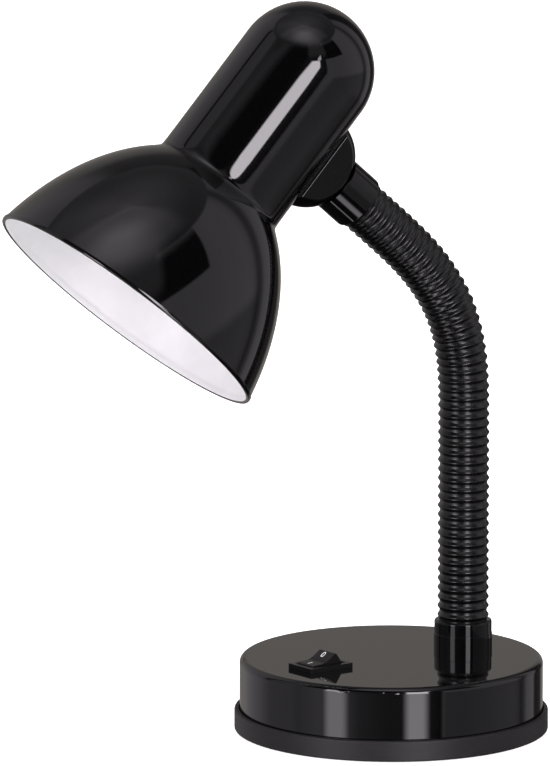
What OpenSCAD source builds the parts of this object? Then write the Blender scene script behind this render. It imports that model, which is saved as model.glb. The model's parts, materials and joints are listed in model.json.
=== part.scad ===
// Gooseneck desk lamp: round weighted base with a rocker switch, ribbed bending neck, bell shade.
// Millimetres, +Z up, origin on the table under the middle of the base.
// +X runs from the middle of the base to the foot of the neck, and the switch lies on -X.

/* [Base] */
// Diameter of the foot ring
foot_d = 127; // [118:1:150]
// Height of the foot ring's upper edge above the table
foot_h = 9; // [8:0.25:9.5]
// Thickness of the floor of the base pan
pan_floor = 2.4; // [2:0.2:3]
// Radius of the foot ring's edges
foot_edge = 0.8; // [0.6:0.1:1.6]
// Diameter of the pressed cover of the base
cover_d = 122.8; // [112:0.2:123]
// Height of the whole base above the table
base_h = 30; // [28:1:40]
// Sheet thickness of the base cover
cover_wall = 0.8; // [0.6:0.1:1.2]
// Outer radius of the cover's top edge
cover_edge = 2.4; // [1.6:0.2:4]
// Thickness of the iron ballast plate
ballast_h = 8; // [5:0.5:10]
// Distance of the three base screws from the middle
screw_ring_r = 40; // [36:1:42]
// Diameter of the base screws
screw_d = 3; // [2.5:0.5:4]
// Mean diameter of the rubber ring under the base
pad_d = 99; // [96:1:104]
// Width of the rubber ring
pad_w = 6; // [4:0.5:8]
// Height of the cord inlet above the table
inlet_z = 16; // [15.5:0.5:18]
// Bore of the cord inlet
inlet_bore_d = 6.2; // [5:0.2:7]

/* [Switch] */
// Distance of the switch from the middle of the base
switch_x = 36.3; // [30:0.5:40]
// Length of the switch bezel
bezel_l = 21; // [20:0.5:24]
// Width of the switch bezel
bezel_w = 15; // [14:0.5:18]
// Height of the bezel above the cover
bezel_h = 2; // [1.5:0.25:3]
// Tilt of the rocker to each side
rocker_tilt = 18; // [12:1:20]
// Width of the rocker
rocker_w = 10.2; // [9:0.2:10.6]

/* [Neck] */
// Distance of the neck's foot from the middle of the base
neck_x = 37.2; // [34:0.1:40]
// Turn of the neck's plane about the vertical, seen from above
neck_swing = -11.13; // [-45:0.01:45]
// Diameter over the ribs of the sleeve
rib_d = 21; // [19.6:0.1:21.2]
// Diameter of the sleeve between its ribs
sleeve_d = 19.3; // [18.6:0.1:19.3]
// Distance between two ribs
rib_pitch = 3.772; // [3.2:0.01:4.2]
// Height at which the rest bend begins, along the neck above its collar
bend_start = 86; // [40:1:110]
// Length along the neck at which the rest bend is complete
bend_end = 175; // [150:0.5:180]
// Rest bend of the neck from the vertical
neck_bend = 48.67; // [10:0.01:60]
// Diameter of the collar at the neck's foot
collar_d = 23.8; // [22.8:0.2:28]
// Height of the collar at the neck's foot
collar_h = 10.6; // [8:0.2:16]
// Axial room at each joint for the neck to flex
flex_gap = 1.7; // [1.6:0.1:2.4]

/* [Head] */
// Diameter of the shade's tube and dome
tube_d = 56; // [52:0.2:64]
// Length of the tube from the middle of the dome to the bell
tube_len = 58.9; // [56:0.1:70]
// Length from the middle of the dome to the mouth
shade_len = 120.8; // [110:0.1:140]
// Diameter of the shade's mouth
mouth_d = 121.6; // [105:0.2:135]
// How far past the mouth the bell's outline would turn parallel to its axis
bell_lead = 22; // [15:1:40]
// Sheet thickness of the shade
shade_wall = 0.7; // [0.5:0.1:1.2]
// Distance of the knuckle from the middle of the dome, along the tube
knuckle_set = 25.4; // [24:0.1:27]
// Distance from the neck's end to the axis of the tube
head_reach = 54.6; // [52:0.1:58]
// Radius of the half-round knuckle at the middle of its crowned rim
knuckle_r = 20.1; // [18:0.1:21]
// Distance from the middle of the knuckle to the axis of the tube
knuckle_drop = 24.2; // [22:0.1:27]
// Thickness of the knuckle
knuckle_t = 19; // [16:0.5:22]
// Diameter of the knuckle's collar, into which the neck goes
head_collar_d = 23.2; // [22:0.2:26]
// Height of the crown on the knuckle's rim
knuckle_crown = 4.6; // [1:0.1:6]
// Inner diameter of the lampholder's screw shell
screw_shell_d = 26.6; // [26.4:0.1:27]
// Length of the lampholder's screw shell
screw_shell_l = 20; // [18:0.5:22]
// Outer diameter of the lampholder
holder_d = 39.2; // [37:0.2:40]

/* [Hidden] */
$fn = 96;

// Clearances
fit_gap = 0.1;          // between pieces that seat in each other
pin_gap = 0.05;         // round a pivot pin
cover_gap = 0.4;        // between the cover's skirt and the foot ring
ballast_gap = 3;        // between the ballast plate and the cover's skirt
ballast_room = 2;       // between the ballast plate and the switch
flex_clear = 0.25;      // between a core knuckle and its groove
move_gap = 0.35;        // between parts that pass each other
eps = 0.01;             // overcut of holes
far = 200;              // longer than any piece that is cut

// Base
ring_lift = 0.4;                              // pan edge above the table, on the rubber ring
pan_top = ring_lift + pan_floor;
cover_top_in = base_h - cover_wall;
ballast_z = cover_top_in - ballast_h;
ballast_r = cover_d / 2 - cover_wall - ballast_gap;
pad_groove = 0.8;
screw_head_r = screw_d;
screw_head_h = 2;
screw_seat_z = ring_lift + pan_floor + 0.2;
post_r = screw_head_r + 2;
screw_angles = [90, 210, 330];
grommet_flange_r = inlet_bore_d / 2 + 2.7;
grommet_body_r = inlet_bore_d / 2 + 1.4;
grommet_flange_t = 1.5;

// Switch
housing_wall = 1;
housing_l = bezel_l - 1.8;                    // body that snaps through the cover
housing_w = bezel_w - 2;
bezel_top = base_h + bezel_h;
housing_depth = 12;                           // body below the cover's top face
housing_z = base_h - housing_depth;
pivot_z = base_h - 2;
pivot_r = 1.3;
pivot_reach = 0.8;
window_l = housing_l - 2 * housing_wall;
window_w = rocker_w + 2 * move_gap;
// half outline of the rocker above its pivot, as [along, up], from crease to end
crease_h = bezel_h + 3.35;
lobe = [[0, crease_h], [1.6, crease_h + 0.2], [5.5, crease_h + 1.27], [6.1, crease_h + 1.3],
        [6.5, crease_h + 0.9], [7.7, 2.2], [8.2, -1], [7.4, -1.5]];
plunger_r = 1.1;
plunger_tip = 5;                              // plunger tip below the pivot
plunger_top = -0.8;
pocket_top = 2.5;
spring_wire = 0.6;
spring_turns = 7;
spring_low = plunger_top + pin_gap + spring_wire / 2;
spring_pitch = (pocket_top - plunger_top - 2 * pin_gap - spring_wire) / (spring_turns - 1);
lever_l = 12.4;
lever_w = 4;
lever_t = 0.6;
lever_tilt = 8;
lever_pin_r = 0.8;
lever_z = pivot_z - plunger_tip - move_gap - lever_pin_r;
blade_w = 4.8;
blade_t = 0.8;
blade_drop = 8;

// Neck
link_ribs = [5, 5, 5, 4, 4, 3, 3, 3, 3, 4, 4, 5];   // ribs that each link carries, foot to head
foot_ribs = 2;                                      // ribs on the neck's fixed foot
head_ribs = 1;                                      // ribs on the neck's end below the head
sway_joints = [2, 5, 9, 12];                        // joints whose hinge lies in the neck's plane
links = len(link_ribs);
lengths = rib_pitch * concat([foot_ribs], link_ribs, [head_ribs]);
neck_z = base_h + collar_h;
function sum_to(v, n) = n <= 0 ? 0 : v[n - 1] + sum_to(v, n - 1);
function ease(t) = let (c = min(max(t, 0), 1)) c * c * (3 - 2 * c);
// direction of each link from the vertical, eased from upright to the full rest bend
leans = [for (k = [0 : links + 1])
    neck_bend * ease((sum_to(lengths, k) + lengths[k] / 2 - bend_start) / (bend_end - bend_start))];
// lower end of each link in the neck's plane, as [forward, up]
steps = [for (k = [0 : links + 1]) lengths[k] * [sin(leans[k]), cos(leans[k])]];
function end_of(k) = k <= 0 ? [0, neck_z] : end_of(k - 1) + steps[k - 1];
ends = [for (k = [0 : links + 2]) end_of(k)];
function is_sway(j) = len(search(j, sway_joints)) > 0;
sleeve_bore_r = sleeve_d / 2 - 1.45;
core_r = sleeve_bore_r - fit_gap;
wire_r = 2.6;
core_gap = 2.2;                               // half of the space between two core links
knuckle_pin_r = 4.6;
tuck = 8;                                     // plain sleeve inside each collar
// rib outline over one pitch, as [share of pitch, share of rib height]
rib_shape = [[0.2, 0], [0.37, 0.82], [0.5, 1], [0.63, 0.82], [0.8, 0]];
collar_floor = 1.2;
collar_step = 0.2;
collar_step_z = collar_h * 0.48;
collar_edge = 0.9;
nipple_r = 5;
nipple_bore_r = 3.5;
nut_h = 3;
nut_flat = 14;
washer_r = 9;
washer_t = 1;
foot_nipple_top = neck_z - 2;

// Head: origin at the neck's end, +X along the tube to the mouth, +Z into the tube
tube_r = tube_d / 2;
mouth_r = mouth_d / 2;
tube_in_r = tube_r - shade_wall;
knuckle_z = head_reach - knuckle_drop;
knuckle_shoulder = 0.8;                       // radius of the knuckle's edges beside the tube
saddle_drop = 2.07;                           // from the tube's side to the middle of the knuckle's shoulders
head_collar_top = knuckle_z - 16;
head_nipple_z = 1.5;
bracket_w = 18;
bracket_t = 1.5;
bracket_top = sqrt(pow(tube_in_r - pin_gap, 2) - pow(bracket_w / 2, 2));
bracket_end = 34;                             // of the leg along the tube, from the dome's middle
head_nut_z = head_reach - bracket_top + bracket_t;
hang_x = 2.5;                                 // of the leg across the tube, from the dome's middle
holder_x = hang_x + bracket_t;
cap_l = 16;
cap_wall = 2;
cap_neck_r = 9;                               // outside of the cap's threaded neck
cap_neck_l = 8;
cap_top_r = 12;
cap_edge = [3, 2.5];                          // slope round the cap's top, as [in, down]
cap_slope = 9.5;                              // height over which the cap widens
skirt_l = 30;
skirt_seat_l = 4;                             // thicker end of the skirt, on the cap
skirt_slim = 1;
skirt_lip = 2.2;
insert_t = 7;
contact_recess_r = screw_shell_d / 2 - 4.3;   // seat of the centre contact, inside the screw shell
contact_recess = 1.5;
contact_t = 0.5;
terminal_set = 15.4;                          // of the holes for the terminals, from the axis
shell_x = holder_x + cap_l + insert_t;
shell_t = 0.4;
skirt_wall = 1.8;
rim_r = 0.8;
bend_blend = 1.2;                             // softness of the corner between tube and bell
bell_steps = 20;
bell_onset = 8;                               // where the blended corner starts, before the tube's end
// The bell is an arc of an ellipse through the tube's end and the mouth
bell_c = shade_len + bell_lead;
bell_ratio = pow(tube_r / mouth_r, 2);
bell_a = sqrt((pow(bell_c - tube_len, 2) - bell_ratio * pow(bell_lead, 2)) / (1 - bell_ratio));
bell_b = mouth_r / sqrt(1 - pow(bell_lead / bell_a, 2));
function bell_raw(t) = bell_b * sqrt(max(0, 1 - pow((bell_c - t) / bell_a, 2)));
function bell_r(t) = let (b = bell_raw(t))
    (tube_r + b + sqrt(pow(tube_r - b, 2) + pow(bend_blend, 2))) / 2;

// ---- shared forms ----

// Turned disc with rounded rims
module turned(r, h, low = 0, high = 0) {
    rotate_extrude() turned_half(r, h, low, high);
}

module turned_half(r, h, low, high) {
    square([r - max(low, high), h]);
    translate([0, low]) square([r, h - low - high]);
    square([r - low, h / 2]);
    translate([0, h / 2]) square([r - high, h / 2]);
    if (low > 0) translate([r - low, low]) circle(low);
    if (high > 0) translate([r - high, h - high]) circle(high);
}

module ring(outer, inner, h) {
    difference() {
        cylinder(r = outer, h = h);
        translate([0, 0, -eps]) cylinder(r = inner, h = h + 2 * eps);
    }
}

module hex_nut(h) {
    difference() {
        cylinder(d = nut_flat / cos(30), h = h, $fn = 6);
        translate([0, 0, -eps]) cylinder(r = nipple_r + fit_gap, h = h + 2 * eps);
    }
}

module at_neck() {
    translate([neck_x, 0, 0]) rotate([0, 0, 180 + neck_swing]) children();
}

// Places a piece in the frame of link k: origin at its lower end, +Z along it, +Y its bend axis
module on_link(k) {
    at_neck() translate([ends[k][0], 0, ends[k][1]]) rotate([0, leans[k], 0]) children();
}

module on_head() {
    on_link(links + 1) translate([0, 0, lengths[links + 1]]) children();
}

// Lampholder and shade pieces are turned about the tube's axis, with +Z towards the mouth
module on_tube_axis() {
    on_head() translate([-knuckle_set, 0, head_reach]) rotate([0, 90, 0]) children();
}

// ---- base ----

module base_pan() color([0.17, 0.17, 0.18]) difference() {
    union() {
        difference() {
            translate([0, 0, ring_lift]) turned(foot_d / 2, foot_h - ring_lift, foot_edge, foot_edge);
            translate([0, 0, pan_top]) cylinder(r = cover_d / 2 + cover_gap, h = foot_h);
        }
        for (a = screw_angles) rotate([0, 0, a]) translate([screw_ring_r, 0, ring_lift + eps])
            cylinder(r = post_r, h = ballast_z - ring_lift - eps);
    }
    translate([0, 0, ring_lift - eps]) ring((pad_d + pad_w) / 2 + fit_gap, (pad_d - pad_w) / 2 - fit_gap,
        pad_groove + eps);
    for (a = screw_angles) rotate([0, 0, a]) translate([screw_ring_r, 0, 0]) {
        cylinder(r = screw_head_r + 0.4, h = screw_seat_z);
        cylinder(r = screw_d / 2 + 0.3, h = far);
    }
}

module foot_ring_pad() color([0.1, 0.1, 0.1])
    ring((pad_d + pad_w) / 2, (pad_d - pad_w) / 2, ring_lift + pad_groove);

module base_cover() color([0.03, 0.03, 0.03]) difference() {
    translate([0, 0, pan_top]) difference() {
        turned(cover_d / 2, base_h - pan_top, 0, cover_edge);
        translate([0, 0, -eps]) turned(cover_d / 2 - cover_wall, cover_top_in - pan_top + eps, 0,
            cover_edge - cover_wall);
    }
    translate([neck_x, 0, 0]) cylinder(r = nipple_r + fit_gap, h = far);
    translate([-switch_x - housing_l / 2 - fit_gap, -housing_w / 2 - fit_gap, base_h - cover_wall - 5])
        cube([housing_l + 2 * fit_gap, housing_w + 2 * fit_gap, far]);
    translate([0, 0, inlet_z]) rotate([0, 90, 0]) cylinder(r = grommet_body_r + pin_gap, h = far);
}

module ballast_plate() color([0.35, 0.35, 0.36]) difference() {
    translate([0, 0, ballast_z]) cylinder(r = ballast_r, h = ballast_h);
    translate([neck_x, 0, 0]) cylinder(r = nipple_r + fit_gap, h = far);
    translate([-switch_x - housing_l / 2 - ballast_room, -housing_w / 2 - ballast_room, 0])
        cube([housing_l + 2 * ballast_room, housing_w + 2 * ballast_room, far]);
    for (a = screw_angles) rotate([0, 0, a]) translate([screw_ring_r, 0, 0])
        cylinder(r = screw_d / 2 + pin_gap, h = far);
}

module base_screws() color([0.62, 0.62, 0.64]) for (a = screw_angles)
    rotate([0, 0, a]) translate([screw_ring_r, 0, 0]) difference() {
        translate([0, 0, screw_seat_z - screw_head_h]) {
            cylinder(r = screw_head_r, h = screw_head_h);
            cylinder(r = screw_d / 2, h = cover_top_in - 1.5 - screw_seat_z + screw_head_h);
        }
        for (turn = [0, 90]) rotate([0, 0, turn]) translate([-screw_head_r * 0.7, -0.35, 0])
            cube([screw_head_r * 1.4, 0.7, screw_seat_z - screw_head_h + 1]);
    }

module cord_grommet() color([0.06, 0.06, 0.06]) translate([0, 0, inlet_z]) rotate([0, 90, 0]) {
    wall_out = cover_d / 2;
    wall_in = sqrt(pow(cover_d / 2 - cover_wall, 2) - pow(grommet_flange_r, 2));
    difference() {
        union() {
            translate([0, 0, wall_out + pin_gap])
                turned(grommet_flange_r, grommet_flange_t, 0, grommet_flange_t / 2);
            translate([0, 0, wall_in - grommet_flange_t])
                cylinder(r = grommet_flange_r - 0.4, h = grommet_flange_t - pin_gap);
            translate([0, 0, wall_in - grommet_flange_t])
                cylinder(r = grommet_body_r, h = wall_out - wall_in + grommet_flange_t + 0.5);
        }
        cylinder(r = inlet_bore_d / 2, h = far);
    }
}

module terminal_block() color([0.85, 0.84, 0.8]) {
    block = [18, 13, 11];
    wire_hole_z = 4;
    rows = [0.27, 0.73];
    translate([6, -34, pan_top]) difference() {
        cube(block);
        for (y = rows) translate([-eps, block[1] * y, wire_hole_z]) rotate([0, 90, 0])
            cylinder(r = 1.6, h = block[0] + 2 * eps);
        for (x = [0.25, 0.75], y = rows)
            translate([block[0] * x, block[1] * y, wire_hole_z]) cylinder(r = 1.4, h = block[2]);
    }
}

// ---- switch ----

module at_switch() translate([-switch_x, 0, 0]) children();

module switch_housing() color([0.05, 0.05, 0.05]) at_switch() difference() {
    union() {
        translate([-bezel_l / 2, -bezel_w / 2, base_h]) cube([bezel_l, bezel_w, bezel_h]);
        translate([-housing_l / 2, -housing_w / 2, housing_z])
            cube([housing_l, housing_w, housing_depth + eps]);
    }
    translate([-window_l / 2, -window_w / 2, housing_z + 1.5]) cube([window_l, window_w, far]);
    rotate([90, 0, 0]) translate([0, pivot_z, -window_w / 2 - pivot_reach]) cylinder(r = pivot_r + pin_gap,
        h = window_w + 2 * pivot_reach);
    for (x = [0, lever_l / 2 - 1])
        translate([x - blade_t / 2 - pin_gap, -blade_w / 2 - pin_gap, housing_z - 1])
            cube([blade_t + 2 * pin_gap, blade_w + 2 * pin_gap, 4]);
}

module switch_terminals() color([0.8, 0.7, 0.4]) at_switch() {
    floor_z = housing_z + 1.5;
    fulcrum_z = lever_z - lever_pin_r - fit_gap;
    rest_z = lever_z - (lever_l / 2 - 1) * tan(lever_tilt) - lever_t / 2 - move_gap;
    translate([-blade_t / 2, -blade_w / 2, housing_z - blade_drop])
        cube([blade_t, blade_w, fulcrum_z - housing_z + blade_drop]);
    translate([lever_l / 2 - 1 - blade_t / 2, -blade_w / 2, housing_z - blade_drop])
        cube([blade_t, blade_w, rest_z - housing_z + blade_drop]);
    translate([lever_l / 2 - 2, -blade_w / 2, floor_z]) cube([2, blade_w, rest_z - floor_z]);
}

module rocker_half() polygon(concat([[0, -1.5]], lobe));

module switch_rocker() color([0.06, 0.06, 0.06]) at_switch() translate([0, 0, pivot_z])
    rotate([0, -rocker_tilt, 0]) difference() {
        union() {
            rotate([90, 0, 0]) linear_extrude(height = rocker_w, center = true) {
                rocker_half();
                mirror([1, 0]) rocker_half();
            }
            rotate([90, 0, 0])
                cylinder(r = pivot_r, h = window_w + 2 * pivot_reach - 2 * pin_gap, center = true);
        }
        translate([0, 0, -far]) cylinder(r = plunger_r + 0.45, h = far + pocket_top);
    }

module rocker_plunger() color([0.85, 0.83, 0.75]) at_switch() translate([0, 0, pivot_z])
    rotate([0, -rocker_tilt, 0]) {
        translate([0, 0, plunger_r - plunger_tip])
            cylinder(r = plunger_r, h = plunger_tip - plunger_r + plunger_top);
        translate([0, 0, plunger_r - plunger_tip]) sphere(r = plunger_r);
    }

module rocker_spring() color([0.6, 0.6, 0.62]) at_switch() translate([0, 0, pivot_z])
    rotate([0, -rocker_tilt, 0]) rotate_extrude() for (turn = [0 : spring_turns - 1])
        translate([plunger_r - spring_wire / 2, spring_low + spring_pitch * turn])
            circle(spring_wire / 2);

module switch_contact_lever() color([0.75, 0.5, 0.3]) at_switch() translate([0, 0, lever_z])
    rotate([0, lever_tilt, 0]) {
        translate([-lever_l / 2, -lever_w / 2, -lever_t / 2]) cube([lever_l, lever_w, lever_t]);
        rotate([90, 0, 0]) cylinder(r = lever_pin_r, h = lever_w, center = true);
    }

// ---- neck ----

module neck_foot_collar() color([0.03, 0.03, 0.03]) translate([neck_x, 0, base_h]) difference() {
    union() {
        turned(collar_d / 2, collar_step_z, 0, collar_step);
        turned(collar_d / 2 - collar_step, collar_h, 0, collar_edge);
    }
    translate([0, 0, collar_floor]) cylinder(r = sleeve_d / 2 + fit_gap, h = collar_h);
    translate([0, 0, -eps]) cylinder(r = nipple_r + fit_gap, h = collar_h);
}

module neck_foot_nipple() color([0.7, 0.68, 0.6]) translate([neck_x, 0, ballast_z - washer_t - nut_h - 1.5])
    ring(nipple_r, nipple_bore_r, foot_nipple_top - ballast_z + washer_t + nut_h + 1.5);

module neck_foot_washer() color([0.62, 0.62, 0.64]) translate([neck_x, 0, ballast_z - washer_t])
    ring(washer_r, nipple_r + fit_gap, washer_t);

module neck_foot_nut() color([0.7, 0.68, 0.6]) translate([neck_x, 0, ballast_z - washer_t - nut_h])
    hex_nut(nut_h);

// Points of the sleeve's outline over a number of ribs, as [radius, height]
function rib_points(first, last) = [for (i = [floor(first) : ceil(last) - 1], p = rib_shape)
    let (h = (i + p[0]) * rib_pitch)
    if (h > first * rib_pitch && h < last * rib_pitch)
        [sleeve_d / 2 + p[1] * (rib_d - sleeve_d) / 2, h]];

// Everything beyond a joint plane that is tilted about the bend axis, less half the flex gap
module beyond(z, tilt, side) translate([0, 0, z]) rotate([0, tilt, 0])
    translate([-far / 2, -far / 2, side > 0 ? -flex_gap / 2 : flex_gap / 2 - far]) cube(far);

function kink(j) = leans[j] - leans[j - 1];

// Ribbed tube between the joints at its ends: first and last are in ribs from the lower joint
module sleeve_piece(low, high) rotate_extrude() polygon(concat(
    [[sleeve_bore_r, low], [sleeve_d / 2, low]],
    rib_points(low / rib_pitch, high / rib_pitch),
    [[sleeve_d / 2, high], [sleeve_bore_r, high]]));

module neck_sleeve(k) color([0.05, 0.05, 0.055]) on_link(k) difference() {
    sleeve_piece(-1, lengths[k] + 1);
    beyond(0, -kink(k) / 2, -1);
    beyond(lengths[k], kink(k + 1) / 2, 1);
}

// The neck's foot and head pieces start inside their collars, where the sleeve is plain
module neck_sleeve_foot() color([0.05, 0.05, 0.055]) on_link(0) difference() {
    rotate_extrude() polygon(concat(
        [for (r = [sleeve_bore_r, sleeve_d / 2]) [r, collar_floor + fit_gap - collar_h]],
        rib_points(0, foot_ribs + 0.2),
        [[sleeve_d / 2, lengths[0] + 1], [sleeve_bore_r, lengths[0] + 1]]));
    beyond(lengths[0], kink(1) / 2, 1);
}

module neck_sleeve_head() color([0.05, 0.05, 0.055]) on_link(links + 1) difference() {
    rotate_extrude() polygon(concat(
        [[sleeve_bore_r, -1], [sleeve_d / 2, -1]],
        rib_points(0, head_ribs),
        [for (r = [sleeve_d / 2, sleeve_bore_r]) [r, lengths[links + 1] + tuck - fit_gap]]));
    beyond(0, -kink(links + 1) / 2, -1);
}

// Hinge axis of joint j in the frame of a link whose share of the kink is tilt
module hinge_rod(j, r, tilt) rotate([0, tilt, 0]) rotate(is_sway(j) ? [0, 90, 0] : [90, 0, 0])
    cylinder(r = r, h = far, center = true);

// Core piece from z = low to z = high, with a knuckle round the joint below and a groove for the next one
module core_piece(k, low, high, knuckle, groove) difference() {
    union() {
        translate([0, 0, low]) cylinder(r = core_r, h = high - low);
        if (knuckle) intersection() {
            hinge_rod(k, knuckle_pin_r, -kink(k) / 2);
            translate([0, 0, -core_r]) cylinder(r = core_r - 1.4, h = 2 * core_r);
        }
    }
    if (groove) translate([0, 0, lengths[k]]) hinge_rod(k + 1, knuckle_pin_r + flex_clear, kink(k + 1) / 2);
    translate([0, 0, -far / 2]) cylinder(r = wire_r, h = far);
}

module neck_core(k) color([0.5, 0.5, 0.52]) on_link(k)
    core_piece(k, core_gap, lengths[k] - core_gap, true, true);

module neck_core_foot() color([0.5, 0.5, 0.52]) on_link(0) difference() {
    core_piece(0, collar_floor - collar_h, lengths[0] - core_gap, false, true);
    translate([0, 0, collar_floor - collar_h - eps])
        cylinder(r = nipple_r + pin_gap, h = foot_nipple_top - neck_z + collar_h - collar_floor + 0.2);
}

module neck_core_head() color([0.5, 0.5, 0.52]) on_link(links + 1) difference() {
    core_piece(links + 1, core_gap, lengths[links + 1] + tuck, true, false);
    translate([0, 0, lengths[links + 1] + head_nipple_z - 0.2]) cylinder(r = nipple_r + pin_gap, h = far);
}

// ---- head ----

// Disc whose rim is crowned as an arc
module crowned_disc() {
    half = knuckle_t / 2;
    arc_r = (pow(half, 2) + pow(knuckle_crown, 2)) / (2 * knuckle_crown);
    rotate_extrude() intersection() {
        translate([knuckle_r - arc_r, 0]) circle(arc_r);
        translate([0, -half]) square([knuckle_r, knuckle_t]);
    }
}

module head_knuckle() color([0.04, 0.04, 0.045]) on_head() difference() {
    union() {
        intersection() {
            translate([0, 0, knuckle_z]) rotate([90, 0, 0]) crowned_disc();
            rotate([90, 0, 90]) linear_extrude(height = far, center = true) saddle_outline();
        }
        turned(head_collar_d / 2, head_collar_top, 0.8, 0);
    }
    translate([-far / 2, 0, head_reach]) rotate([0, 90, 0]) cylinder(r = tube_r, h = far);
    translate([0, 0, -eps]) cylinder(r = sleeve_d / 2 + fit_gap, h = tuck + eps);
    cylinder(r = nipple_r + fit_gap, h = far);
}

// Width and height of the knuckle seen along the tube, with rounded shoulders at the tube
module saddle_outline() {
    shoulder = knuckle_shoulder;
    top = head_reach - sqrt(pow(tube_r, 2) - pow(knuckle_t / 2, 2)) - saddle_drop;
    translate([-knuckle_t / 2, 0]) square([knuckle_t, top]);
    translate([-knuckle_t / 2 + shoulder, 0]) square([knuckle_t - 2 * shoulder, top + shoulder]);
    for (side = [-1, 1]) translate([side * (knuckle_t / 2 - shoulder), top]) circle(shoulder);
    translate([-knuckle_t / 2 + shoulder, 0]) square([knuckle_t - 2 * shoulder, head_reach]);
}

module head_nipple() color([0.7, 0.68, 0.6]) on_head() translate([0, 0, head_nipple_z])
    ring(nipple_r, nipple_bore_r, head_nut_z + nut_h + 0.5 - head_nipple_z);

module head_nut() color([0.7, 0.68, 0.6]) on_head() translate([0, 0, head_nut_z]) hex_nut(nut_h);

module holder_bracket() color([0.7, 0.7, 0.72]) on_head() difference() {
    union() {
        translate([hang_x - knuckle_set, -bracket_w / 2, head_reach - bracket_top])
            cube([bracket_end - hang_x, bracket_w, bracket_t]);
        translate([hang_x - knuckle_set, -bracket_w / 2, head_reach - bracket_top])
            cube([bracket_t, bracket_w, bracket_top]);
        translate([hang_x - knuckle_set, 0, head_reach]) rotate([0, 90, 0])
            cylinder(r = bracket_w / 2, h = bracket_t);
    }
    cylinder(r = nipple_r + fit_gap, h = head_reach - 4);
    translate([-far, 0, head_reach]) rotate([0, 90, 0]) cylinder(r = nipple_r + fit_gap, h = far);
}

module holder_nipple() color([0.7, 0.68, 0.6]) on_tube_axis() translate([0, 0, hang_x - nut_h - 0.8])
    ring(nipple_r, nipple_bore_r, nut_h + 0.8 + bracket_t + 7);

module holder_nut() color([0.7, 0.68, 0.6]) on_tube_axis() translate([0, 0, hang_x - nut_h]) hex_nut(nut_h);

module holder_cap() color([0.9, 0.89, 0.86]) on_tube_axis() translate([0, 0, holder_x]) rotate_extrude() {
    edge_r = holder_d / 2 - cap_edge[0] - 1.1;
    polygon([[nipple_r + fit_gap, 0], [cap_top_r, 0], [edge_r, cap_edge[1]], [holder_d / 2, cap_slope],
        [holder_d / 2, cap_l], [holder_d / 2 - cap_wall, cap_l], [holder_d / 2 - cap_wall, cap_slope + 0.7],
        [edge_r - 1.2, cap_edge[1] + cap_wall], [cap_top_r - 1, cap_wall + 0.4], [cap_neck_r, cap_wall + 0.4],
        [cap_neck_r, cap_neck_l], [nipple_r + fit_gap, cap_neck_l]]);
}

module holder_skirt() color([0.9, 0.89, 0.86]) on_tube_axis() translate([0, 0, holder_x + cap_l])
    rotate_extrude() {
        seat_r = holder_d / 2 - skirt_wall - 0.4;
        bore_r = holder_d / 2 - skirt_wall - skirt_slim - 0.4;
        lip_r = screw_shell_d / 2 + shell_t + 1.3;
        polygon([[seat_r, 0], [holder_d / 2, 0], [holder_d / 2, skirt_seat_l],
            [holder_d / 2 - skirt_slim, skirt_seat_l + 1], [holder_d / 2 - skirt_slim - 0.4, skirt_l - 1],
            [holder_d / 2 - skirt_slim - 1.2, skirt_l], [lip_r, skirt_l], [lip_r, skirt_l - skirt_lip],
            [bore_r - 0.2, skirt_l - skirt_lip], [bore_r, insert_t + fit_gap], [seat_r, insert_t + fit_gap]]);
    }

module holder_insert() color([0.93, 0.92, 0.9]) on_tube_axis() translate([0, 0, holder_x + cap_l])
    difference() {
        cylinder(r = holder_d / 2 - skirt_wall - 0.4 - fit_gap, h = insert_t);
        translate([0, 0, insert_t - contact_recess]) cylinder(r = contact_recess_r, h = contact_recess + eps);
        for (side = [-1, 1]) translate([0, side * terminal_set, -eps])
            cylinder(r = 1.1, h = insert_t + 2 * eps);
    }

module holder_screw_shell() color([0.8, 0.65, 0.35]) on_tube_axis() translate([0, 0, shell_x])
    ring(screw_shell_d / 2 + shell_t, screw_shell_d / 2, screw_shell_l);

// Spring tongue with the contact that the lamp's foot presses on
module holder_centre_contact() color([0.8, 0.65, 0.35]) on_tube_axis()
    translate([0, 0, shell_x - contact_recess]) {
        translate([-7, -2, 0]) cube([9, 4, contact_t]);
        translate([0, 0, contact_t - 0.1]) cylinder(r1 = 2.6, r2 = 1.4, h = 0.9);
    }

// Outline of the bell's wall: outer points out to the rim, inner points back
function bell_t(i) = tube_len - bell_onset + (shade_len - tube_len + bell_onset) * i / bell_steps;
function slope(t) = atan2(bell_r(t + 0.05) - bell_r(t - 0.05), 0.1);
function wall_in(t) = [bell_r(t) - shade_wall * cos(slope(t)), t + shade_wall * sin(slope(t))];

module shade_outline() {
    intersection() {
        difference() {
            circle(tube_r);
            circle(tube_in_r);
        }
        translate([0, -tube_r]) square(tube_r);
    }
    polygon(concat(
        [[tube_in_r, 0], [tube_r, 0], [tube_r, bell_t(0)]],
        [for (i = [1 : bell_steps]) [bell_r(bell_t(i)), bell_t(i)]],
        [for (i = [bell_steps - 1 : -1 : 1]) wall_in(bell_t(i))],
        [[tube_in_r, bell_t(0)]]));
    translate([mouth_r + shade_wall / 2 - rim_r, shade_len - rim_r]) circle(rim_r);
}

// The pressed shade in two solids that meet where the tube turns into the bell
module shade_tube() color([0.02, 0.02, 0.02]) difference() {
    on_tube_axis() rotate_extrude() intersection() {
        shade_outline();
        translate([0, tube_len - far]) square(far);
    }
    on_head() cylinder(r = nipple_r + fit_gap, h = head_reach);
}

module shade_bell() color([0.02, 0.02, 0.02]) on_tube_axis() rotate_extrude() intersection() {
    shade_outline();
    translate([0, tube_len]) square(far);
}

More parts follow.
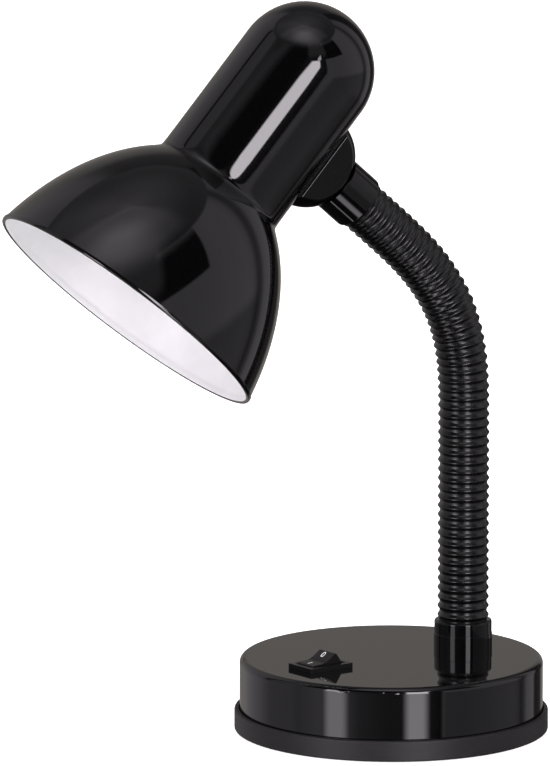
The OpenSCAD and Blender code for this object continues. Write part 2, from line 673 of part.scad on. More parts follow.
base_pan();
foot_ring_pad();
base_cover();
ballast_plate();
base_screws();
cord_grommet();
terminal_block();
switch_housing();
switch_terminals();
switch_rocker();
rocker_plunger();
rocker_spring();
switch_contact_lever();
neck_foot_collar();
neck_foot_nipple();
neck_foot_washer();
neck_foot_nut();
neck_sleeve_foot();
neck_sleeve(1);  // neck_sleeve_01
neck_sleeve(2);  // neck_sleeve_02
neck_sleeve(3);  // neck_sleeve_03
neck_sleeve(4);  // neck_sleeve_04
neck_sleeve(5);  // neck_sleeve_05
neck_sleeve(6);  // neck_sleeve_06
neck_sleeve(7);  // neck_sleeve_07
neck_sleeve(8);  // neck_sleeve_08
neck_sleeve(9);  // neck_sleeve_09
neck_sleeve(10);  // neck_sleeve_10
neck_sleeve(11);  // neck_sleeve_11
neck_sleeve(12);  // neck_sleeve_12
neck_sleeve_head();
neck_core_foot();
neck_core(1);  // neck_core_01
neck_core(2);  // neck_core_02
neck_core(3);  // neck_core_03
neck_core(4);  // neck_core_04
neck_core(5);  // neck_core_05
neck_core(6);  // neck_core_06
neck_core(7);  // neck_core_07
neck_core(8);  // neck_core_08
neck_core(9);  // neck_core_09
neck_core(10);  // neck_core_10
neck_core(11);  // neck_core_11
neck_core(12);  // neck_core_12
neck_core_head();
head_knuckle();
head_nipple();
head_nut();
holder_bracket();
holder_nipple();
holder_nut();
holder_cap();
holder_skirt();
holder_insert();
holder_screw_shell();
holder_centre_contact();
shade_tube();
shade_bell();
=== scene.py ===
from functools import partial
import json
import math
import bmesh
import bpy
from mathutils import Matrix, Vector
from mathutils.bvhtree import BVHTree


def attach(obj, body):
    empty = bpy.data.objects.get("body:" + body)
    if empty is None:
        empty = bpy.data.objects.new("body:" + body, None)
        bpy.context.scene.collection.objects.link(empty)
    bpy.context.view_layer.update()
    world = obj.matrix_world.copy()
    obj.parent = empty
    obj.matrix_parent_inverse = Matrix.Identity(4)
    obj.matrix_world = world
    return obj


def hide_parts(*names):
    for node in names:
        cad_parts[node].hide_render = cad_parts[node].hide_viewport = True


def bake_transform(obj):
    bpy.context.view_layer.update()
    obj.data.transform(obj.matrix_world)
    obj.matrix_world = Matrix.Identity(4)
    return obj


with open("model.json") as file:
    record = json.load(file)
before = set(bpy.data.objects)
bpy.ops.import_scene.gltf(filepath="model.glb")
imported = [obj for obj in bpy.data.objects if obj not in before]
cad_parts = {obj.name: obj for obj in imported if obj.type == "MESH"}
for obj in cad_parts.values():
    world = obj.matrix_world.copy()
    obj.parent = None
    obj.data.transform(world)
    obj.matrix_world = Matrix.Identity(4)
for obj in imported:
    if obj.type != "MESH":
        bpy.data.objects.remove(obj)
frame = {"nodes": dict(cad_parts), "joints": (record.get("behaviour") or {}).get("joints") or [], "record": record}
print("frame loaded:", len(frame["nodes"]), "nodes")
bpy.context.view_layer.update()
mm = 0.001


def newMaterial(name):
    mat = bpy.data.materials.new(name)
    mat.use_nodes = True
    return mat, mat.node_tree, mat.node_tree.nodes["Principled BSDF"]


def addNode(tree, kind, **values):
    node = tree.nodes.new(kind)
    for key, value in values.items():
        if hasattr(node, key):
            setattr(node, key, value)
        else:
            node.inputs[key.replace("_", " ").title()].default_value = value
    return node


def maths(tree, operation, *values):
    node = addNode(tree, "ShaderNodeMath", operation=operation)
    for socket, value in zip(node.inputs, values):
        if isinstance(value, (int, float)):
            socket.default_value = value
        else:
            tree.links.new(value, socket)
    return node.outputs[0]


def objectNoise(tree, scale, detail=3.0):
    coords = addNode(tree, "ShaderNodeTexCoord")
    noise = addNode(tree, "ShaderNodeTexNoise", scale=scale, detail=detail, roughness=0.5)
    tree.links.new(coords.outputs["Object"], noise.inputs["Vector"])
    return noise.outputs["Fac"]


noiseSpan = (0.3, 0.7)                                  # the part of the noise that the looks use


def spread(tree, source, low, high):
    node = addNode(tree, "ShaderNodeMapRange")
    tree.links.new(source, node.inputs["Value"])
    for name, value in zip(("From Min", "From Max", "To Min", "To Max"), (*noiseSpan, low, high)):
        node.inputs[name].default_value = value
    return node.outputs["Result"]


def tint(tree, source, low, high):
    ramp = addNode(tree, "ShaderNodeValToRGB")
    for stop, position, colour in zip(ramp.color_ramp.elements, noiseSpan, (low, high)):
        stop.position = position
        stop.color = (*colour, 1)
    tree.links.new(source, ramp.inputs["Fac"])
    return ramp.outputs["Color"]


def bump(tree, shader, source, strength, distance):
    node = addNode(tree, "ShaderNodeBump", strength=strength, distance=distance)
    tree.links.new(source, node.inputs["Height"])
    tree.links.new(node.outputs["Normal"], shader.inputs["Normal"])


lacquerLook = {"dark": (0.001, 0.001, 0.0011), "light": (0.0017, 0.0016, 0.0018), "rough": (0.035, 0.06), "ior": 1.42,
               "fineScale": 900, "peelScale": 260, "peel": 0.06, "peelDepth": 0.00001}


def lacquer():
    look = lacquerLook
    mat, tree, shader = newMaterial("blackLacquer")
    fine = objectNoise(tree, look["fineScale"])
    peel = objectNoise(tree, look["peelScale"], 1)
    tree.links.new(tint(tree, fine, look["dark"], look["light"]), shader.inputs["Base Color"])
    tree.links.new(spread(tree, fine, *look["rough"]), shader.inputs["Roughness"])
    bump(tree, shader, peel, look["peel"], look["peelDepth"])
    shader.inputs["IOR"].default_value = look["ior"]
    return mat


def plain(name, low, high, rough, scale, grain, depth=0.00001, metal=0.0, ior=1.45):
    mat, tree, shader = newMaterial(name)
    noise = objectNoise(tree, scale)
    tree.links.new(tint(tree, noise, low, high), shader.inputs["Base Color"])
    tree.links.new(spread(tree, noise, *rough), shader.inputs["Roughness"])
    bump(tree, shader, noise, grain, depth)
    shader.inputs["Metallic"].default_value = metal
    shader.inputs["IOR"].default_value = ior
    return mat


looks = {
    "lacquer": lacquer(),
    "enamel": plain("whiteEnamel", (0.80, 0.80, 0.81), (0.84, 0.84, 0.85), (0.3, 0.42), 120, 0.05, 0.00003),
    "gloss": plain("glossMoulding", (0.001, 0.001, 0.0011), (0.0018, 0.0018, 0.0019), (0.05, 0.08), 400, 0.02,
                   ior=1.32),
    "sleeve": plain("neckSleeve", (0.0015, 0.0015, 0.0017), (0.003, 0.003, 0.0032), (0.22, 0.3), 500, 0.08, ior=1.42),
    "satin": plain("satinMoulding", (0.005, 0.0048, 0.0052), (0.009, 0.0086, 0.0092), (0.42, 0.55), 900, 0.35, 0.00003,
                   ior=1.36),
    "rocker": plain("switchMoulding", (0.0015, 0.0015, 0.0017), (0.003, 0.003, 0.0032), (0.2, 0.28), 1500, 0.3,
                    ior=1.34),
    "rubber": plain("footRubber", (0.006, 0.0058, 0.006), (0.011, 0.0105, 0.011), (0.7, 0.85), 800, 0.4, 0.00004),
    "ink": plain("whiteInk", (0.72, 0.72, 0.72), (0.8, 0.8, 0.8), (0.45, 0.6), 1500, 0.1),
    "holder": plain("whiteMoulding", (0.72, 0.71, 0.68), (0.78, 0.77, 0.74), (0.3, 0.42), 500, 0.1, 0.00002),
    "zinc": plain("zincPlate", (0.5, 0.51, 0.53), (0.66, 0.67, 0.7), (0.22, 0.36), 200, 0.08, 0.00002, 1.0),
    "brass": plain("contactBrass", (0.62, 0.44, 0.19), (0.78, 0.59, 0.3), (0.2, 0.34), 200, 0.08, 0.00002, 1.0),
    "nickel": plain("nickelPlate", (0.6, 0.57, 0.5), (0.72, 0.69, 0.62), (0.16, 0.26), 200, 0.06, 0.00002, 1.0),
    "iron": plain("ballastIron", (0.09, 0.088, 0.085), (0.17, 0.165, 0.16), (0.55, 0.75), 90, 0.5, 0.0002, 0.9),
}
print("materials ready")


def finishMesh(name, bm, materials, smoothTo=None):
    mesh = bpy.data.meshes.new(name)
    bm.to_mesh(mesh)
    bm.free()
    for mat in materials:
        mesh.materials.append(mat)
    obj = bpy.data.objects.new(name, mesh)
    bpy.context.scene.collection.objects.link(obj)
    if smoothTo is not None:
        mesh.shade_smooth()
        mesh.set_sharp_from_angle(angle=math.radians(smoothTo))
    return obj


def bakeModifiers(obj):
    final = bpy.data.meshes.new_from_object(obj.evaluated_get(bpy.context.evaluated_depsgraph_get()))
    obj.modifiers.clear()
    obj.data = final


def frameMatrix(origin, along, side):
    z = Vector(along).normalized()
    y = (Vector(side) - z * z.dot(Vector(side))).normalized()
    m = Matrix((y.cross(z), y, z)).transposed().to_4x4()
    m.translation = Vector(origin)
    return m


def ringPairs(count):
    return [(i, (i + 1) % count) for i in range(count)]


def lathe(name, points, place, materials, faceMaterial, segments, smoothTo):
    bm = bmesh.new()
    turns = [2 * math.pi * i / segments for i in range(segments)]
    rings = [[bm.verts.new((r * math.cos(turn), r * math.sin(turn), z)) for turn in (turns if r > 0 else [0])]
             for r, z in points]
    for a, b, kind in zip(rings, rings[1:], faceMaterial):
        for i, j in ringPairs(segments):
            if len(a) == 1:
                face = bm.faces.new((a[0], b[i], b[j]))
            elif len(b) == 1:
                face = bm.faces.new((a[i], b[0], a[j]))
            else:
                face = bm.faces.new((a[i], b[i], b[j], a[j]))
            face.material_index = kind
    bmesh.ops.recalc_face_normals(bm, faces=bm.faces[:])
    bm.transform(place)
    return finishMesh(name, bm, materials, smoothTo)


def arc(cx, cz, r, start, end, steps):
    turns = [math.radians(start + (end - start) * i / steps) for i in range(steps + 1)]
    return [(cx + r * math.cos(turn), cz + r * math.sin(turn)) for turn in turns]


socketDepth = 0.037                                     # from the dome's middle to the lampholder's mount
joints = {j["name"]: j for j in frame["joints"]}
mounts = {m["name"]: m for m in frame["record"]["mounts"]}
bendSide = Vector(joints["neck_bend_01"]["axis"])
tubeDir = Vector(mounts["lamp_socket"]["axis"]).normalized()
domeCentre = Vector(mounts["lamp_socket"]["pos_m"]) - tubeDir * socketDepth
neckDir = tubeDir.cross(bendSide).normalized()          # the neck's direction where it enters the head
onTube = frameMatrix(domeCentre, tubeDir, bendSide)


shadeSizes = {"tubeR": 28.0, "tubeLen": 58.9, "len": 120.8, "mouthR": 60.8, "lead": 22, "wall": 0.7, "blend": 1.2,
              "tubeStep": 8, "tubeRows": 5, "bellStart": 44, "bellRows": 90, "domeRows": 40, "around": 192,
              "hemTop": 1.7, "hemOut": 0.3, "hemWidth": 1.75, "hemCurve": 2.6, "hemTurn": 18, "hemRoot": 0.25,
              "edge": 0.4, "lipDepth": 2.4, "lipEnd": 0.2, "gap": 0.3, "blackLip": 5, "smoothTo": 50}


def bellRadius(t):
    s = shadeSizes
    centre = s["len"] + s["lead"]
    ratio = (s["tubeR"] / s["mouthR"]) ** 2
    a = math.sqrt(((centre - s["tubeLen"]) ** 2 - ratio * s["lead"] ** 2) / (1 - ratio))
    b = s["mouthR"] / math.sqrt(1 - (s["lead"] / a) ** 2)
    bell = b * math.sqrt(max(0, 1 - ((centre - t) / a) ** 2))
    return (s["tubeR"] + bell + math.hypot(s["tubeR"] - bell, s["blend"])) / 2


def hemProfile():
    s = shadeSizes
    edge, root, end, band, turn = s["edge"], s["hemRoot"], s["lipEnd"], s["hemCurve"], s["hemTurn"]
    hemR = s["mouthR"] + s["wall"] * s["hemOut"]
    lipR = hemR - s["hemWidth"]
    edgeZ = s["len"] - edge
    bandZ = edgeZ - (band - edge) * math.sin(math.radians(turn))
    edgeR = hemR - band + (band - edge) * math.cos(math.radians(turn))
    hem = arc(hemR - root, bandZ - s["gap"], root, -75, -6, 4)       # angles in degrees, then steps
    hem += arc(hemR - band, bandZ, band, -6, turn, 6)
    hem += arc(edgeR, edgeZ, edge, turn, 90, 5)
    lip = arc(lipR + edge, edgeZ, edge, 90, 180, 6)
    lip += arc(lipR + end, s["len"] - s["lipDepth"] + end, end, 180, 250, 4)
    return hem, lip


def makeShade():
    s = shadeSizes
    start, end = s["bellStart"], s["len"] - s["hemTop"]
    outer = arc(0, 0, s["tubeR"], -90, 0, s["domeRows"])
    outer += [(s["tubeR"], s["tubeStep"] * i) for i in range(1, s["tubeRows"] + 1)]
    heights = [start + (end - start) * i / s["bellRows"] for i in range(1, s["bellRows"] + 1)]
    outer += [(bellRadius(t), t) for t in heights]
    outer[0] = (0, -s["tubeR"])
    inner = []
    for (r0, z0), (r1, z1) in zip(outer[1:], outer[2:]):
        d = math.hypot(r1 - r0, z1 - z0)
        inner.append((r0 - s["wall"] * (z1 - z0) / d, z0 + s["wall"] * (r1 - r0) / d))
    inner = [point for point in inner if point[1] < s["len"] - s["lipDepth"] - s["gap"]]
    hem, lip = hemProfile()
    points = outer + hem + lip + inner[::-1] + [(0, -s["tubeR"] + s["wall"])]
    split = len(outer) + len(hem) + s["blackLip"]       # black round the hem, white inside
    kinds = [0 if n < split else 1 for n in range(len(points) - 1)]
    points = [(max(r, 0) * mm, z * mm) for r, z in points]
    obj = lathe("shadeShell", points, onTube, [looks["lacquer"], looks["enamel"]], kinds, s["around"], s["smoothTo"])
    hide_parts("shade_tube", "shade_bell")
    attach(obj, "head")


makeShade()
print("shade done")


neckSizes = {"collarTop": 40.6, "pitch": 3.772, "ribs": [2, 5, 5, 5, 4, 4, 3, 3, 3, 3, 4, 4, 5, 1],
             "ridgeR": 10.5, "valleyR": 9.65, "stepsPerRib": 16, "sides": 64, "pathSteps": 40,
             "flank": (0.3, 0.95), "crest": 0.85}


def ribbedTree():
    tree = bpy.data.node_groups.new("ribbedSleeve", "GeometryNodeTree")
    face = tree.interface
    face.new_socket("Path", in_out="INPUT", socket_type="NodeSocketGeometry")
    for name, kind in (("Ribs", "Int"), ("Steps per Rib", "Int"), ("Sides", "Int"), ("Ridge Radius", "Float"),
                       ("Valley Radius", "Float"), ("Material", "Material")):
        face.new_socket(name, in_out="INPUT", socket_type="NodeSocket" + kind)
    face.new_socket("Sleeve", in_out="OUTPUT", socket_type="NodeSocketGeometry")
    put = tree.nodes.new
    link = tree.links.new
    calc = partial(maths, tree)
    given = put("NodeGroupInput").outputs
    steps = given["Steps per Rib"]
    curve = put("GeometryNodeMeshToCurve")
    link(given["Path"], curve.inputs[0])
    even = put("GeometryNodeResampleCurve")
    link(curve.outputs[0], even.inputs["Curve"])
    link(calc("ADD", calc("MULTIPLY", given["Ribs"], steps), 1), even.inputs["Count"])
    index = put("GeometryNodeInputIndex").outputs[0]
    share = calc("FRACT", calc("DIVIDE", index, steps))
    rise = calc("SUBTRACT", 1, calc("ABSOLUTE", calc("SUBTRACT", calc("MULTIPLY", share, 2), 1)))
    flank = put("ShaderNodeMapRange")
    link(rise, flank.inputs["Value"])
    flank.inputs["From Min"].default_value, flank.inputs["From Max"].default_value = neckSizes["flank"]
    crest = calc("POWER", flank.outputs[0], neckSizes["crest"])
    height = calc("SUBTRACT", given["Ridge Radius"], given["Valley Radius"])
    radius = calc("ADD", calc("MULTIPLY", crest, height), given["Valley Radius"])
    setRadius = put("GeometryNodeSetCurveRadius")
    link(even.outputs[0], setRadius.inputs["Curve"])
    link(radius, setRadius.inputs["Radius"])
    circle = put("GeometryNodeCurvePrimitiveCircle")
    link(given["Sides"], circle.inputs["Resolution"])
    circle.inputs["Radius"].default_value = 1
    sweep = put("GeometryNodeCurveToMesh")
    link(setRadius.outputs[0], sweep.inputs["Curve"])
    link(circle.outputs[0], sweep.inputs["Profile Curve"])
    if "Scale" in sweep.inputs:                         # newer versions scale the profile here
        link(radius, sweep.inputs["Scale"])
    smooth = put("GeometryNodeSetShadeSmooth")
    link(sweep.outputs[0], smooth.inputs["Geometry"])
    real = put("GeometryNodeRealizeInstances")
    link(smooth.outputs[0], real.inputs[0])
    paint = put("GeometryNodeSetMaterial")
    link(real.outputs[0], paint.inputs["Geometry"])
    link(given["Material"], paint.inputs["Material"])
    link(paint.outputs[0], put("NodeGroupOutput").inputs[0])
    return tree


def growMesh(name, mesh, tree, values):
    obj = bpy.data.objects.new(name, mesh)
    bpy.context.scene.collection.objects.link(obj)
    mod = obj.modifiers.new("grow", "NODES")
    mod.node_group = tree
    ids = {s.name: s.identifier for s in tree.interface.items_tree if s.in_out == "INPUT"}
    for key, value in values.items():
        mod[ids[key]] = value
    bakeModifiers(obj)
    obj.data.name = name
    return obj


def makeNeck():
    s = neckSizes
    tree = ribbedTree()
    steps, last = s["pathSteps"], len(s["ribs"]) - 1
    names = ["neck_%s_%02d" % ("sway" if "neck_sway_%02d" % k in joints else "bend", k) for k in range(1, last + 1)]
    knots = [Vector(joints[n]["pos_m"]) for n in names]
    foot = Vector((knots[0].x, knots[0].y, s["collarTop"] * mm))
    end = knots[-1] + neckDir * s["pitch"] * s["ribs"][-1] * mm
    corners = [foot] + knots + [end]
    splits = [0] + [n // 2 for n in s["ribs"][1:-1]] + [s["ribs"][-1]]       # ribs below the seam in each link
    seams = [a + (b - a).normalized() * n * s["pitch"] * mm for a, b, n in zip(corners, corners[1:], splits)]
    shares = [i / steps for i in range(steps + 1)]
    for k in range(1, last + 1):
        low, knot, high = seams[k - 1], corners[k], seams[k]
        path = bpy.data.meshes.new("path")
        bend = [low * (1 - t) ** 2 + knot * 2 * t * (1 - t) + high * t * t for t in shares]
        path.from_pydata(bend, [(i, i + 1) for i in range(steps)], [])
        obj = growMesh("sleeve_%02d" % k, path, tree, {
            "Ribs": s["ribs"][k - 1] - splits[k - 1] + splits[k], "Steps per Rib": s["stepsPerRib"],
            "Sides": s["sides"], "Ridge Radius": s["ridgeR"] * mm, "Valley Radius": s["valleyR"] * mm,
            "Material": looks["sleeve"]})
        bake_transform(obj)
        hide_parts("neck_sleeve_%02d" % k if k < 13 else "neck_sleeve_head")
        if k == 1:
            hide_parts("neck_sleeve_foot")


makeNeck()
print("neck done")


dressed = {
    "lacquer": ["base_cover"], "rubber": ["foot_ring_pad"], "iron": ["ballast_plate"],
    "satin": ["base_pan", "cord_grommet"], "gloss": ["neck_foot_collar", "head_knuckle"],
    "brass": ["switch_terminals", "switch_contact_lever", "holder_centre_contact"],
    "holder": ["rocker_plunger", "holder_cap", "holder_skirt", "holder_insert"],
    "nickel": ["neck_foot_nipple", "neck_foot_nut", "head_nipple", "head_nut", "holder_nipple", "holder_nut"],
    "zinc": ["base_screws", "rocker_spring", "neck_foot_washer"]}
dressed["zinc"] += [node for node in frame["nodes"] if node.startswith("neck_core")]
for look, nodes in dressed.items():
    for node in nodes:
        materials = frame["nodes"][node].data.materials
        materials.clear()
        materials.append(looks[look])


softSizes = {"merge": 1e-6, "flat": 0.5, "segments": 3}


def softened(node, look, body, width, angle=40):
    bm = bmesh.new()
    bm.from_mesh(frame["nodes"][node].data)
    bmesh.ops.remove_doubles(bm, verts=bm.verts[:], dist=softSizes["merge"])
    bmesh.ops.dissolve_limit(bm, angle_limit=math.radians(softSizes["flat"]), verts=bm.verts[:], edges=bm.edges[:])
    obj = finishMesh(node + "Soft", bm, [looks[look]], angle)
    bevel = obj.modifiers.new("bevel", "BEVEL")
    bevel.width, bevel.segments, bevel.limit_method = width * mm, softSizes["segments"], "ANGLE"
    bevel.angle_limit = math.radians(angle)
    bevel.harden_normals = True
    bakeModifiers(obj)
    obj.data.materials.clear()
    obj.data.materials.append(looks[look])
    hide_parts(node)
    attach(obj, body)
    return obj


softened("switch_housing", "rocker", "base", 0.45)
rocker = softened("switch_rocker", "rocker", "rocker", 0.3, angle=25)
softened("terminal_block", "holder", "base", 0.5)
softened("holder_bracket", "zinc", "head", 0.25)
print("edges softened")


markSizes = {"oAt": (-34.45, 0.6), "oLong": 1.2, "oWide": 0.95, "around": 48, "barAt": (-41.5, 0.1), "barLong": 1.3,
             "barWide": 0.26, "barSeam": 0.5, "stroke": 0.2, "proud": 0.02, "sunk": 0.06, "above": 60, "merge": 1e-7}


def printedMark(name, outline, hole, at):
    s = markSizes
    tree = BVHTree.FromPolygons([v.co for v in rocker.data.vertices], [p.vertices for p in rocker.data.polygons])

    def onRocker(x, y, lift):
        start = Vector(((at[0] + x) * mm, (at[1] + y) * mm, s["above"] * mm))
        spot, normal, _, _ = tree.ray_cast(start, Vector((0, 0, -1)))
        return spot + normal * lift * mm

    bm = bmesh.new()
    rings = [[bm.verts.new(onRocker(x, y, lift)) for x, y in line]
             for line, lift in ((outline, s["proud"]), (outline, -s["sunk"]), (hole, -s["sunk"]), (hole, s["proud"]))]
    for a, b in zip(rings, rings[1:] + rings[:1]):
        for i, j in ringPairs(len(a)):
            bm.faces.new((a[i], b[i], b[j], a[j]))
    bmesh.ops.remove_doubles(bm, verts=bm.verts[:], dist=s["merge"])
    bmesh.ops.recalc_face_normals(bm, faces=bm.faces[:])
    obj = finishMesh(name, bm, [looks["ink"]])
    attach(obj, "rocker")


def scaled(line, wide, tall):
    return [(x * wide, y * tall) for x, y in line]


def makeMarks():
    s = markSizes
    turns = [2 * math.pi * i / s["around"] for i in range(s["around"])]
    ring = [(math.cos(turn), math.sin(turn)) for turn in turns]
    box = [(-1, -1), (0, -1), (1, -1), (1, 0), (1, 1), (0, 1), (-1, 1), (-1, 0)]
    inLong, inWide = s["oLong"] - 2 * s["stroke"], s["oWide"] - 2 * s["stroke"]
    printedMark("markOff", scaled(ring, s["oLong"], s["oWide"]), scaled(ring, inLong, inWide), s["oAt"])
    seam = scaled(box, s["barLong"] * s["barSeam"], 0)
    printedMark("markOn", scaled(box, s["barLong"], s["barWide"]), seam, s["barAt"])


makeMarks()
print("marks done")


socketSizes = {"start": 27, "shellR": 13.62, "thread": 0.3, "pitch": 3.63, "length": 20, "wall": 0.3, "around": 72,
               "rows": 84, "fadeIn": 2, "fadeOut": 1.2, "smoothTo": 50}     # start counts from the dome's middle


def makeScrewShell():
    s = socketSizes
    bm = bmesh.new()
    walls = []
    for inset in (0, s["wall"]):
        rows = []
        for j in range(s["rows"] + 1):
            t = s["length"] * j / s["rows"]
            ease = min(1, t / s["fadeIn"], (s["length"] - t) / s["fadeOut"])      # the thread fades at both ends
            row = []
            for turn in (i / s["around"] for i in range(s["around"])):
                wave = math.cos(2 * math.pi * (t / s["pitch"] - turn)) * s["thread"] * ease
                r = (s["shellR"] + wave - inset) * mm
                angle = 2 * math.pi * turn
                row.append(bm.verts.new((r * math.cos(angle), r * math.sin(angle), (s["start"] + t) * mm)))
            rows.append(row)
        walls.append(rows)
    loop = walls[0] + walls[1][::-1]
    for a, b in zip(loop, loop[1:] + loop[:1]):
        for i, j in ringPairs(s["around"]):
            bm.faces.new((a[i], a[j], b[j], b[i]))
    bmesh.ops.recalc_face_normals(bm, faces=bm.faces[:])
    bm.transform(onTube)
    obj = finishMesh("screwShell", bm, [looks["brass"]], s["smoothTo"])
    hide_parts("holder_screw_shell")
    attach(obj, "head")


makeScrewShell()
print("lampholder done")


studio = {"azimuth": -37.8, "elevation": 10.75, "distance": 4.0, "pxPerMm": 2.473, "picture": (550, 766),
          "aimPx": (391.3, 655.9), "aim": (0, 0, 0.030), "sensor": 36, "farthest": 100}


def direction(azimuth, elevation):
    a, e = math.radians(azimuth), math.radians(elevation)
    return Vector((math.sin(a) * math.cos(e), -math.cos(a) * math.cos(e), math.sin(e)))


def cameraAxes():
    a = math.radians(studio["azimuth"])
    back = direction(studio["azimuth"], studio["elevation"])
    right = Vector((math.cos(a), math.sin(a), 0))
    return right, back.cross(right), back


def makeCamera():
    right, up, back = cameraAxes()
    wide, tall = studio["picture"]
    focal = studio["pxPerMm"] * 1000 * studio["distance"]
    dx = (studio["aimPx"][0] - wide / 2) / focal * studio["distance"]
    dy = (tall / 2 - studio["aimPx"][1]) / focal * studio["distance"]
    data = bpy.data.cameras.new("camera")
    data.lens = focal * studio["sensor"] / tall
    data.sensor_width = studio["sensor"]
    data.clip_end = studio["farthest"]
    cam = bpy.data.objects.new("camera", data)
    place = Matrix((right, up, back)).transposed().to_4x4()
    place.translation = Vector(studio["aim"]) - right * dx - up * dy + back * studio["distance"]
    cam.matrix_world = place
    bpy.context.scene.collection.objects.link(cam)
    bpy.context.scene.camera = cam


lampAim = Vector((0, 0, 0.15))
lamps = {                                               # azimuth, elevation, distance, width, height, power
    "topBox": (0, 88, 1.6, 2.0, 2.0, 24), "fillBox": (110, 10, 1.8, 0.9, 0.8, 12)}


def panel(name, azimuth, elevation, distance, width, height, power):
    spot = direction(azimuth + studio["azimuth"], elevation)
    light = bpy.data.lights.new(name, "AREA")
    light.shape = "RECTANGLE"
    light.size = width
    light.size_y = height
    light.energy = power
    obj = bpy.data.objects.new(name, light)
    obj.matrix_world = frameMatrix(lampAim + spot * distance, spot, spot.cross(Vector((0, 0, 1))).cross(spot) * -1)
    obj.visible_glossy = False                          # the world gives what the gloss reflects
    bpy.context.scene.collection.objects.link(obj)


floorLook = {"grey": 0.9, "rough": 0.9, "glow": 0.8, "reach": 30}


def makeFloor():
    grey = floorLook["grey"]
    mat, tree, shader = newMaterial("paleFloor")
    shader.inputs["Base Color"].default_value = (grey, grey, grey, 1)
    shader.inputs["Roughness"].default_value = floorLook["rough"]
    shader.inputs["Specular IOR Level"].default_value = 0
    rays = addNode(tree, "ShaderNodeLightPath").outputs
    seen = maths(tree, "MAXIMUM", rays["Is Camera Ray"], rays["Is Transmission Ray"])
    seen = maths(tree, "MAXIMUM", seen, rays["Is Glossy Ray"])
    shader.inputs["Emission Color"].default_value = (1, 1, 1, 1)
    tree.links.new(maths(tree, "MULTIPLY", seen, floorLook["glow"]), shader.inputs["Emission Strength"])
    bm = bmesh.new()
    bmesh.ops.create_grid(bm, x_segments=1, y_segments=1, size=floorLook["reach"])
    floor = finishMesh("floor", bm, [mat])
    floor.visible_glossy = False


surroundings = {                                        # all angles in degrees, azimuth 0 behind the camera
    "azimuths": (                                       # azimuth, brightness
        (-180, 0.3), (-160, 0.3), (-147, 0.5), (-120, 0.6), (-105.5, 0.45), (-84, 0.58), (-76, 0.5), (-57, 0.8),
        (-33, 0.6), (-25, 0.3), (-5, 0.15), (30, 0.12), (37.5, 0.02), (39.5, 0.85), (54, 0.8), (87, 0.87),
        (105, 0.76), (111, 0.6), (116, 0.22), (120, 0.22), (125, 0.5), (136, 0.45), (140, 0.05), (154, 0.05),
        (160, 0.3), (180, 0.3)),
    "below": (-31, 8, 0.06), "lid": (51.5, 1, 0.25), "zenith": (84, 6, 0.25),      # elevation, softness, brightness
    "darks": (                                          # left, far, soft, low, high, soft at low, soft at high, share
        (-76, 74.5, 1, 25.5, 50.5, 0.8, 5, 1), (-110.5, -105.5, 1, 2, 50, 4, 2, 0.9), (157, 400, 3, 33, 53, 6, 2, 0.5),
        (-400, -160, 6, 33, 53, 6, 2, 0.5), (40, 118, 2, -400, -4, 1, 3, 0.45)),
    "glows": (                                          # left, far, soft, low, high, soft, power
        (-36, 32, 28, 58, 78, 8, 1.25), (-400, 400, 1, 70, 200, 12, 0.3), (-130, -60, 20, 55, 200, 4, 0.2),
        (-78, 72, 12, 57, 120, 4, 0.35), (-6, 48, 12, 50, 62, 6, 0.3), (8, 42, 4, 31, 56, 6, 0.34),
        (-70, 70, 25, 66, 82, 8, 0.25)),
    "boxes": (                                          # left, far, soft, power below, power above, bottom, top, slope
        (10.5, 27.3, 0.8, 4.7, 15, -40, 25, 0.1), (24, 30.8, 0.8, 0, 8, 24, 30.6, -0.8),
        (-52, -34, 1.5, 3.6, 9, -40, 26, 0)),
    "boxFoot": (-2, 4), "faint": 1.15, "footLess": 1, "footSoft": 3, "slantSoft": 1,
    "warm": (1.05, 0.98, 0.93, 1), "cool": (1.01, 0.955, 1.01, 1), "coolFrom": (-0.8, 0.1)}


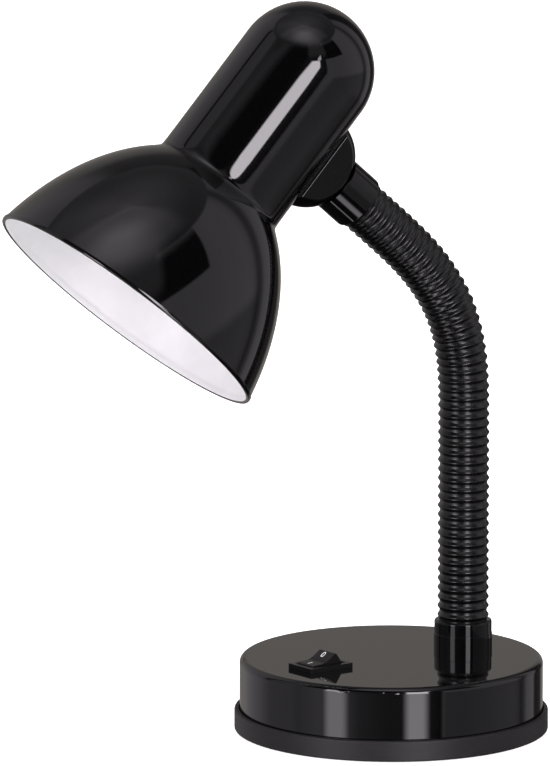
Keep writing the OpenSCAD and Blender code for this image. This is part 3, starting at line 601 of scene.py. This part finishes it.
def makeWorld():
    s = surroundings
    world = bpy.data.worlds.new("studio")
    bpy.context.scene.world = world
    world.use_nodes = True
    tree = world.node_tree
    calc = partial(maths, tree)
    right, _, _ = cameraAxes()
    front = Vector((0, 0, 1)).cross(right) * -1
    coords = addNode(tree, "ShaderNodeTexCoord")

    def along(axis):
        node = addNode(tree, "ShaderNodeVectorMath", operation="DOT_PRODUCT")
        tree.links.new(coords.outputs["Generated"], node.inputs[0])
        node.inputs[1].default_value = axis
        return node.outputs["Value"]

    def step(source, edge, soft):
        node = addNode(tree, "ShaderNodeMapRange", interpolation_type="SMOOTHSTEP")
        tree.links.new(source, node.inputs["Value"])
        node.inputs["From Min"].default_value = edge - soft
        node.inputs["From Max"].default_value = edge + soft
        return node.outputs["Result"]

    def window(source, low, high, soft, softHigh=None):
        return calc("SUBTRACT", step(source, low, soft), step(source, high, softHigh or soft))

    azimuth = calc("MULTIPLY", calc("ARCTAN2", along(right), along(front)), 180 / math.pi)
    height = calc("MULTIPLY", calc("ARCSINE", along((0, 0, 1))), 180 / math.pi)
    ramp = addNode(tree, "ShaderNodeValToRGB")
    tree.links.new(calc("DIVIDE", calc("ADD", azimuth, 180), 360), ramp.inputs["Fac"])
    stops = [((angle + 180) / 360, (value, value, value, 1)) for angle, value in s["azimuths"]]
    elements = ramp.color_ramp.elements
    for element, (position, colour) in zip(elements, (stops[0], stops[-1])):
        element.position, element.color = position, colour
    for position, colour in stops[1:-1]:
        elements.new(position).color = colour
    edge, soft, least = s["below"]
    lower = calc("ADD", calc("MULTIPLY", step(height, edge, soft), 1 - least), least)
    around = calc("MULTIPLY", ramp.outputs["Color"], lower)
    edge, soft, bright = s["lid"]
    upper = step(height, edge, soft)
    total = calc("ADD", calc("MULTIPLY", around, calc("SUBTRACT", 1, upper)), calc("MULTIPLY", upper, bright))
    for left, far, softAz, low, high, softLow, softHigh, share in s["darks"]:
        shut = calc("MULTIPLY", window(azimuth, left, far, softAz), window(height, low, high, softLow, softHigh))
        total = calc("MULTIPLY", total, calc("SUBTRACT", 1, calc("MULTIPLY", shut, share)))
    for left, far, softAz, low, high, softEl, power in s["glows"]:
        glow = calc("MULTIPLY", window(azimuth, left, far, softAz), window(height, low, high, softEl))
        total = calc("ADD", total, calc("MULTIPLY", glow, power))
    edge, soft, bright = s["zenith"]
    total = calc("ADD", total, calc("MULTIPLY", step(height, edge, soft), bright))
    risen = step(height, *s["boxFoot"])
    sunk = calc("SUBTRACT", 1, risen)
    for left, far, soft, below, above, bottom, top, slope in s["boxes"]:
        slant = calc("ADD", height, calc("MULTIPLY", calc("SUBTRACT", azimuth, (left + far) / 2), slope))
        area = calc("MULTIPLY", window(azimuth, left, far, soft), window(slant, bottom, top, s["slantSoft"]))
        faint = calc("MULTIPLY", window(azimuth, left, far - s["footLess"], soft + s["footSoft"]), sunk)
        faint = calc("MULTIPLY", faint, below * s["faint"])
        strong = calc("MULTIPLY", calc("MULTIPLY", area, risen), above)
        total = calc("MAXIMUM", total, calc("MAXIMUM", strong, faint))
    shade = addNode(tree, "ShaderNodeMix", data_type="RGBA")
    tree.links.new(step(along(front), *s["coolFrom"]), shade.inputs[0])
    shade.inputs[6].default_value = s["warm"]           # sockets 6 and 7 are the mix's two colours
    shade.inputs[7].default_value = s["cool"]
    background = tree.nodes["Background"]
    tree.links.new(shade.outputs[2], background.inputs["Color"])
    tree.links.new(total, background.inputs["Strength"])


makeCamera()
makeFloor()
makeWorld()
for name, values in lamps.items():
    panel(name, *values)
bpy.context.scene.view_settings.view_transform = "Standard"
print("stage ready")
